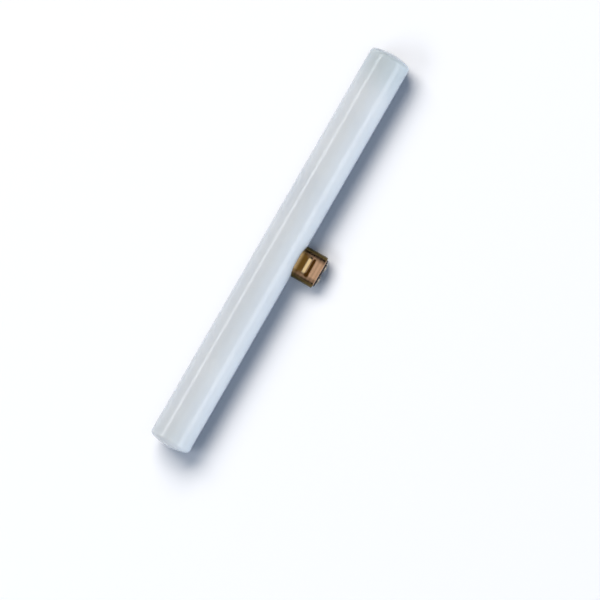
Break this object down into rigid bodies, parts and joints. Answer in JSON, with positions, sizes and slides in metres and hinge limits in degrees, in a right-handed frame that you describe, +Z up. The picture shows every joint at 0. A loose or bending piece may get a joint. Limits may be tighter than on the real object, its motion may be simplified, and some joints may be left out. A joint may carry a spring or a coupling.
{
  "type": "tubular light bulb",
  "caption": "Opal white tubular lamp with slightly domed ends and an oblong brass plug-in cap standing out of the middle of its side, laid at rest.",
  "frame": {"origin": "on the ground, under the middle of the whole lamp's box as it lies at rest", "axes": "+X along the tube, the cap towards -Y and drooping until its rim meets the ground, +Z up"},
  "size_m": [0.3, 0.0463, 0.029],
  "materials": {
    "opal_glass": "gloss",
    "cap_brass": "polished",
    "cement": "matte",
    "black_glass": "gloss",
    "contact_brass": "polished",
    "solder": "satin",
    "copper": "polished"
  },
  "bodies": {
    "root": {"opal_glass_tube": "opal_glass", "cap_shell": "cap_brass", "cap_cement": "cement", "contact_insulator": "black_glass", "contact_plate_left": "contact_brass", "contact_plate_right": "contact_brass", "contact_solder_left": "solder", "contact_solder_right": "solder", "lead_wire_left": "copper", "lead_wire_right": "copper"}
  },
  "joints": []
}
